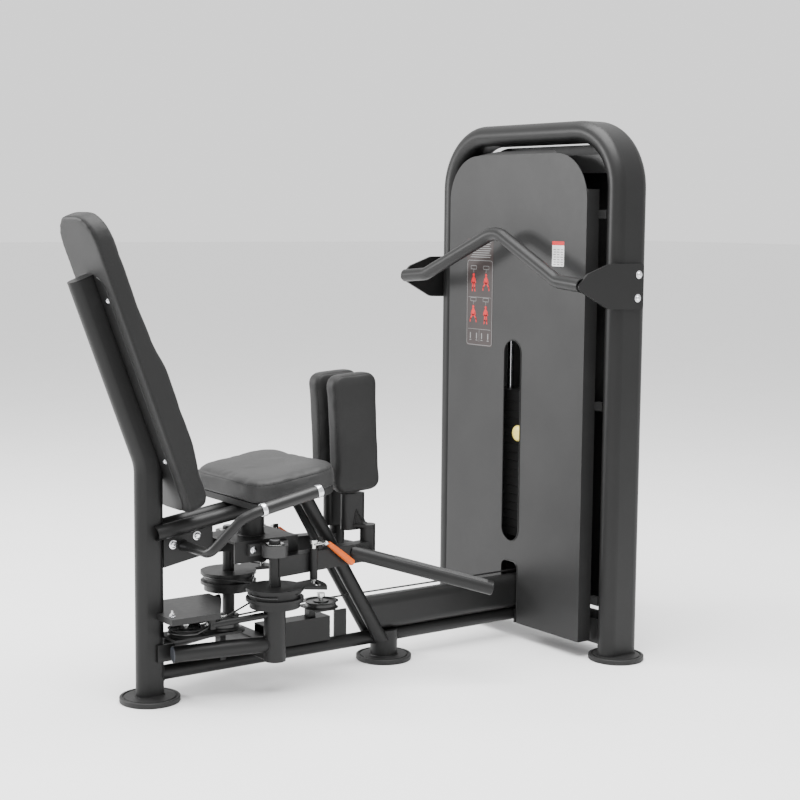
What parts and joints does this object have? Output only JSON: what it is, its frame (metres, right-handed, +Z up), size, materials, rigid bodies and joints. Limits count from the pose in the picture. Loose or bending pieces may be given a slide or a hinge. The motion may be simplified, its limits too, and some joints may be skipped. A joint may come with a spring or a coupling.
{
  "type": "hip abductor machine",
  "caption": "Seated gym machine with swinging leg pads, footrests, reclined backrest and a covered weight-stack tower with a handlebar.",
  "frame": {"origin": "on the floor, at the centre of the overall outline", "axes": "+X forward, the way the user faces, towards the tower; +Y the user's left; +Z up"},
  "size_m": [1.555, 0.889, 1.5],
  "materials": {
    "bearing_iron": "satin",
    "black_rubber": "matte",
    "board": "matte",
    "cable_jacket": "satin",
    "chromed_rod": "polished",
    "frame_paint": "satin",
    "grey_plastic": "matte",
    "grip_rubber": "matte",
    "orange_grip": "matte",
    "panel_paint": "satin",
    "pulley_nylon": "satin",
    "shell_plastic": "matte",
    "stack_iron": "satin",
    "vinyl": "satin",
    "vinyl_seat": "satin",
    "yellow_knob": "gloss",
    "zinc_bolts": "polished"
  },
  "bodies": {
    "frame": {"backrest_cushion": "vinyl", "backrest_shell": "shell_plastic", "cross_tube": "frame_paint", "crosshead": "frame_paint", "foot_discs": "black_rubber", "frame_bolts": "zinc_bolts", "front_panel": "panel_paint", "guide_rods": "chromed_rod", "gusset_plates": "frame_paint", "handle_grips": "grip_rubber", "handle_tubes": "frame_paint", "handlebar": "frame_paint", "handlebar_plates": "frame_paint", "link_cables": "cable_jacket", "lower_housings": "frame_paint", "lower_rail": "frame_paint", "main_beam": "frame_paint", "main_cable": "cable_jacket", "middle_post": "frame_paint", "pulley_axles": "zinc_bolts", "pulley_brackets": "frame_paint", "pulley_cover_plate": "frame_paint", "rail_clevis": "frame_paint", "rear_panel": "panel_paint", "rear_post": "frame_paint", "rear_post_cap": "grey_plastic", "resting_plates": "stack_iron", "seat_board": "board", "seat_cushion": "vinyl_seat", "seat_rails": "frame_paint", "side_covers": "panel_paint", "side_tubes": "frame_paint", "struts": "frame_paint", "top_crosshead": "frame_paint", "tower_arch": "frame_paint", "tower_base_beam": "frame_paint", "upper_bearings": "bearing_iron"},
    "cam_right": {"cam_right": "frame_paint"},
    "cam_left": {"cam_left": "frame_paint"},
    "arm_right": {"arm_right": "frame_paint", "footrest_right": "frame_paint"},
    "arm_left": {"arm_left": "frame_paint", "footrest_left": "frame_paint"},
    "pad_right": {"pad_post_right": "frame_paint", "thigh_pad_right": "vinyl"},
    "pad_left": {"pad_post_left": "frame_paint", "thigh_pad_left": "vinyl"},
    "plunger_right": {"plunger_right": "zinc_bolts"},
    "plunger_left": {"plunger_left": "zinc_bolts"},
    "lever_right": {"lever_right": "orange_grip"},
    "lever_left": {"lever_left": "orange_grip"},
    "weights": {"weight_head": "stack_iron", "lifted_plates": "stack_iron", "lift_cable": "cable_jacket"},
    "selector_pin": {"selector_pin": "yellow_knob"},
    "rear_pulley_a": {"rear_pulley_a": "pulley_nylon"},
    "rear_pulley_b": {"rear_pulley_b": "pulley_nylon"},
    "front_pulley": {"front_pulley": "pulley_nylon"},
    "tower_low_pulley": {"tower_low_pulley": "pulley_nylon"},
    "tower_top_pulley": {"tower_top_pulley": "pulley_nylon"}
  },
  "joints": [
    {"name": "swing_right", "type": "hinge", "parent": "frame", "child": "cam_right", "pos_m": [-0.27, -0.12, 0.265], "axis": [0, 0, 1], "range_deg": [-50, 0]},
    {"name": "swing_left", "type": "hinge", "parent": "frame", "child": "cam_left", "pos_m": [-0.27, 0.12, 0.265], "axis": [0, 0, 1], "range_deg": [0, 50]},
    {"name": "start_position_right", "type": "hinge", "parent": "cam_right", "child": "arm_right", "pos_m": [-0.27, -0.12, 0.33], "axis": [0, 0, 1], "range_deg": [-20, 0]},
    {"name": "pad_swivel_right", "type": "hinge", "parent": "arm_right", "child": "pad_right", "pos_m": [0.04996, -0.07503, 0.4], "axis": [0, 0, 1], "range_deg": [0, 180]},
    {"name": "release_right", "type": "hinge", "parent": "arm_right", "child": "lever_right", "pos_m": [-0.12485, -0.12533, 0.3817], "axis": [-0.1392, 0.9903, 0], "range_deg": [0, 18.2]},
    {"name": "plunger_slide_right", "type": "slide", "parent": "arm_right", "child": "plunger_right", "axis": [0, 0, 1], "range_m": [0, 0.0122]},
    {"name": "start_position_left", "type": "hinge", "parent": "cam_left", "child": "arm_left", "pos_m": [-0.27, 0.12, 0.33], "axis": [0, 0, 1], "range_deg": [0, 20]},
    {"name": "pad_swivel_left", "type": "hinge", "parent": "arm_left", "child": "pad_left", "pos_m": [0.04996, 0.07503, 0.4], "axis": [0, 0, 1], "range_deg": [-180, 0]},
    {"name": "release_left", "type": "hinge", "parent": "arm_left", "child": "lever_left", "pos_m": [-0.12485, 0.12533, 0.3817], "axis": [0.1392, 0.9903, 0], "range_deg": [0, 18.2]},
    {"name": "plunger_slide_left", "type": "slide", "parent": "arm_left", "child": "plunger_left", "axis": [0, 0, 1], "range_m": [0, 0.0122]},
    {"name": "weight_lift", "type": "slide", "parent": "frame", "child": "weights", "axis": [0, 0, 1], "range_m": [0, 0.0603], "deforming": ["lift_cable"]},
    {"name": "pin_pull", "type": "slide", "parent": "weights", "child": "selector_pin", "axis": [-1, 0, 0], "range_m": [0, 0.05]},
    {"name": "rear_pulley_a_turn", "type": "hinge", "parent": "frame", "child": "rear_pulley_a", "pos_m": [-0.487, -0.044, 0.18], "axis": [0, 0, 1], "range_deg": [0, 78.84]},
    {"name": "rear_pulley_b_turn", "type": "hinge", "parent": "frame", "child": "rear_pulley_b", "pos_m": [-0.38, -0.044, 0.18447], "axis": [0, 0, 1], "range_deg": [0, 78.84]},
    {"name": "front_pulley_turn", "type": "hinge", "parent": "frame", "child": "front_pulley", "pos_m": [-0.08, -0.044, 0.197], "axis": [0, 0, 1], "range_deg": [0, 78.84]},
    {"name": "tower_low_pulley_turn", "type": "hinge", "parent": "frame", "child": "tower_low_pulley", "pos_m": [0.708, 0, 0.235], "axis": [0, 1, 0], "range_deg": [0, 91.13]},
    {"name": "tower_top_pulley_turn", "type": "hinge", "parent": "frame", "child": "tower_top_pulley", "pos_m": [0.72, 0, 1.3], "axis": [0, 1, 0], "range_deg": [0, 132.73]}
  ],
  "couplings": [
    {"joint": "swing_left", "follows": "swing_right", "ratio": -1},
    {"joint": "release_right", "follows": "plunger_slide_right", "rad_per_m": 26},
    {"joint": "release_left", "follows": "plunger_slide_left", "rad_per_m": 26},
    {"joint": "weight_lift", "follows": "swing_right", "m_per_rad": -0.0685},
    {"joint": "rear_pulley_a_turn", "follows": "swing_right", "ratio": -1.5568},
    {"joint": "rear_pulley_b_turn", "follows": "swing_right", "ratio": -1.5568},
    {"joint": "front_pulley_turn", "follows": "swing_right", "ratio": -1.5568},
    {"joint": "tower_low_pulley_turn", "follows": "swing_right", "ratio": -1.8026},
    {"joint": "tower_top_pulley_turn", "follows": "swing_right", "ratio": -2.6346}
  ]
}
